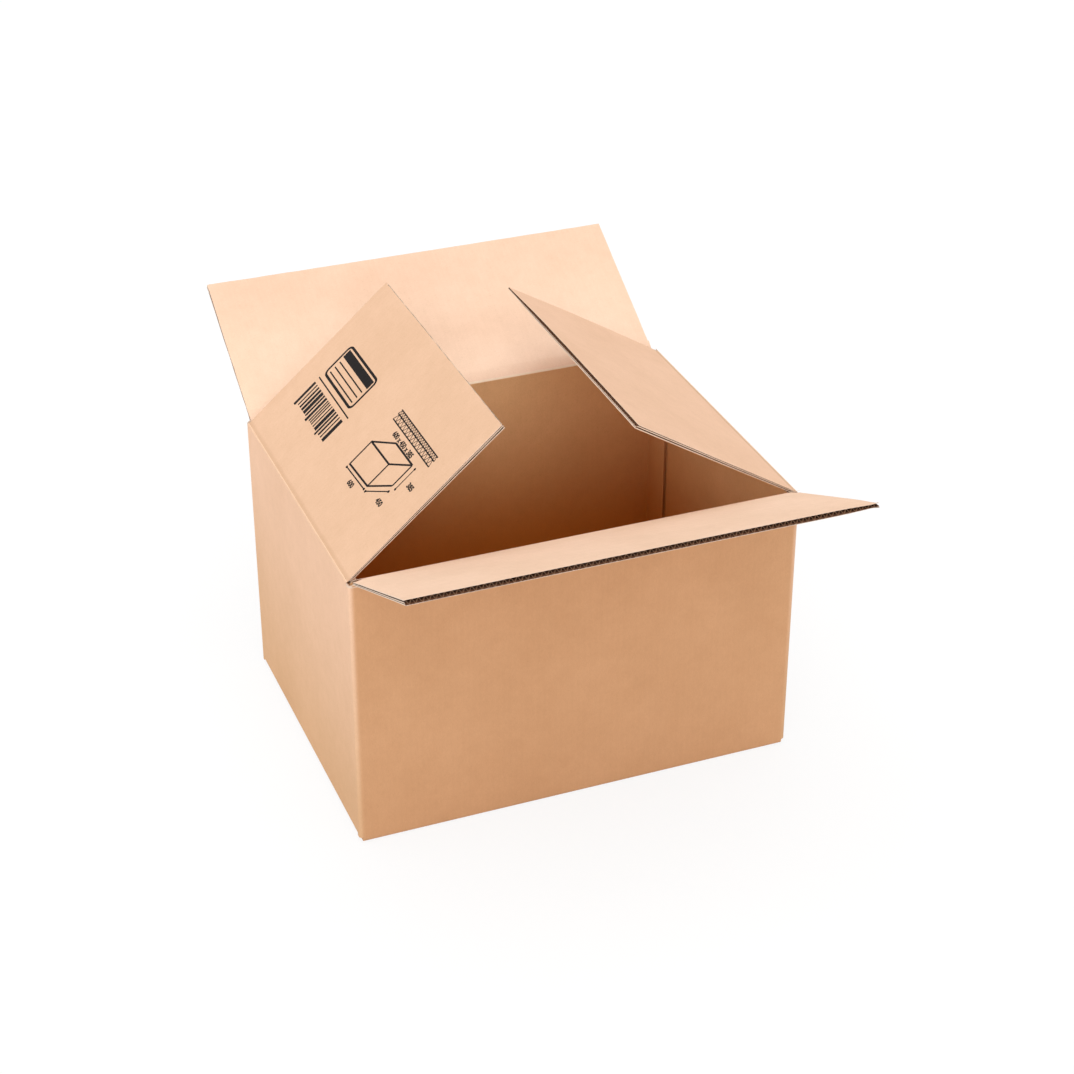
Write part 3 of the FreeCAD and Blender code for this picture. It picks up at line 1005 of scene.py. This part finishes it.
def numbers(text, centre, height):
    """Plain numbers, centred on a point."""
    curve = bpy.data.curves.new("numbers", "FONT")
    curve.body = text
    curve.size = height / 0.70
    curve.align_x = "CENTER"
    curve.offset = 0.045 * curve.size
    curve.resolution_u = 3
    curve.extrude = (INK_RISE + INK_SINK) / 2
    host = bpy.data.objects.new("numbers", curve)
    bpy.context.collection.objects.link(host)
    mesh = bpy.data.meshes.new_from_object(host.evaluated_get(bpy.context.evaluated_depsgraph_get()))
    work = bmesh.new()
    work.from_mesh(mesh)
    bmesh.ops.remove_doubles(work, verts=work.verts, dist=1e-6)
    points = np.array([v.co for v in work.verts])
    faces = [tuple(v.index for v in f.verts) for f in work.faces]
    work.free()
    bpy.data.objects.remove(host)
    t = (INK_SINK - INK_RISE) / 2 - points[:, 2]
    ink.add(place(printed, centre[0] + points[:, 0], centre[1] - height / 2 + points[:, 1], t), faces, [0] * len(faces))


print("ink helpers ready")

# %% A form to write on
def rounded_frame(corner, opposite, radius, steps=5):
    """Corner points of a rectangle with rounded corners, in order."""
    (x0, y0), (x1, y1) = np.minimum(corner, opposite), np.maximum(corner, opposite)
    points = []
    for cx, cy, begin in ((x1 - radius, y1 - radius, 0), (x0 + radius, y1 - radius, 90),
                          (x0 + radius, y0 + radius, 180), (x1 - radius, y0 + radius, 270)):
        for turn in np.radians(np.linspace(begin, begin + 90, steps)):
            points.append((cx + radius * math.cos(turn), cy + radius * math.sin(turn)))
    return points


def divided(points, step=INK_STEP):
    """The same closed line with its long sides divided."""
    result = []
    for here, after in zip(points, points[1:] + points[:1]):
        here, after = np.asarray(here), np.asarray(after)
        count = max(1, int(np.ceil(np.linalg.norm(after - here) / step)))
        result += [tuple(here + (after - here) * k / count) for k in range(count)]
    return result


def print_form():
    """A frame with a solid head and ruled lines."""
    corner, opposite = on_flap(0.120, 0.335), on_flap(0.372, 0.525)
    outline(divided(rounded_frame(corner, opposite, 7 * MM)), 3.8 * MM)
    left_edge, right_edge = corner[0] + 4.5 * MM, opposite[0] - 4.5 * MM
    top, bottom = corner[1], opposite[1]
    head = top - 11 * MM
    stroke((left_edge, head), (right_edge, head), 13 * MM)
    for share in (0.50, 0.68, 0.86):
        level = top + (bottom - top) * share
        stroke((left_edge + 3 * MM, level), (right_edge - 3 * MM, level), 2.0 * MM)


print_form()

# %% Bars
BAR_SEED = 5


def print_bars():
    """Plain upright bars of seeded widths under a thin rule."""
    rng = np.random.default_rng(BAR_SEED)
    (left_edge, top), (right_edge, bottom) = on_flap(0.112, 0.590), on_flap(0.402, 0.728)
    stroke(on_flap(0.112, 0.560), on_flap(0.402, 0.560), 2.0 * MM)
    x, number = left_edge, 0
    while x < right_edge - 2 * MM:
        width = rng.choice([2.8, 4.2, 5.6, 7.4]) * MM
        long_bar = number % 6 == 0
        stroke((x + width / 2, top), (x + width / 2, bottom - (4 * MM if long_bar else 0)), width)
        x += width + rng.choice([2.4, 3.2, 4.2]) * MM
        number += 1
    return number


print(print_bars(), "bars")

# %% The board's section, and the box with its sizes
def print_section():
    """Three straight papers and two fluted ones, drawn end on."""
    left_edge, right_edge = on_flap(0.580, 0.35)[0], on_flap(0.890, 0.35)[0]
    levels = [on_flap(0, v)[1] for v in (0.322, 0.347, 0.382)]
    for level in levels:
        stroke((left_edge, level), (right_edge, level), 1.8 * MM)
    for high, low, pitch in ((levels[0], levels[1], 5.6 * MM), (levels[1], levels[2], 8.4 * MM)):
        count = int((right_edge - left_edge) / pitch)
        pitch = (right_edge - left_edge) / count
        points = []
        for index in range(count):
            points += [(left_edge + pitch * index, low), (left_edge + pitch * (index + 0.5), high)]
        points.append((right_edge, low))
        outline(points, 1.3 * MM, closed=False)


def print_box_outline():
    """An oblique box with a measuring line and a number along each of its three sides."""
    line = 2.7 * MM
    near = [on_flap(*p) for p in ((0.584, 0.530), (0.734, 0.525), (0.734, 0.668), (0.584, 0.678))]
    outline(divided([tuple(p) for p in near]), line)
    rear_left, rear_right, rear_low = on_flap(0.684, 0.440), on_flap(0.825, 0.438), on_flap(0.825, 0.570)
    for start, end in ((near[0], rear_left), (rear_left, rear_right), (near[1], rear_right),
                       (rear_right, rear_low), (rear_low, near[2])):
        stroke(start, end, line)
    for start, end in (((0.848, 0.440), (0.848, 0.568)), ((0.745, 0.690), (0.832, 0.600)),
                       ((0.584, 0.698), (0.732, 0.690))):
        start, end = on_flap(*start), on_flap(*end)
        stroke(start, end, 1.7 * MM)
        dot(start, 2.0 * MM)
        dot(end, 2.0 * MM)
    numbers("385", on_flap(0.895, 0.505), 7.4 * MM)
    numbers("450", on_flap(0.835, 0.665), 7.4 * MM)
    numbers("600", on_flap(0.662, 0.728), 7.4 * MM)


print_section()
print_box_outline()
numbers("600 x 450 x 385", on_flap(0.715, 0.417), 7.2 * MM)
print("ink shells hold", ink.count, "points")

# %% The ink on the flap
def ink_material():
    """Water-based black ink that has sunk into the paper, so the fibres still show through it."""
    return paper_material("black ink", (0.013, 0.011, 0.011), "Y", washboard=0.3, contrast=4.0)


ink_piece = ink.piece("left_flap_print", [ink_material()])
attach(ink_piece, "left")
print(ink_piece.name, triangles(ink_piece), "triangles")
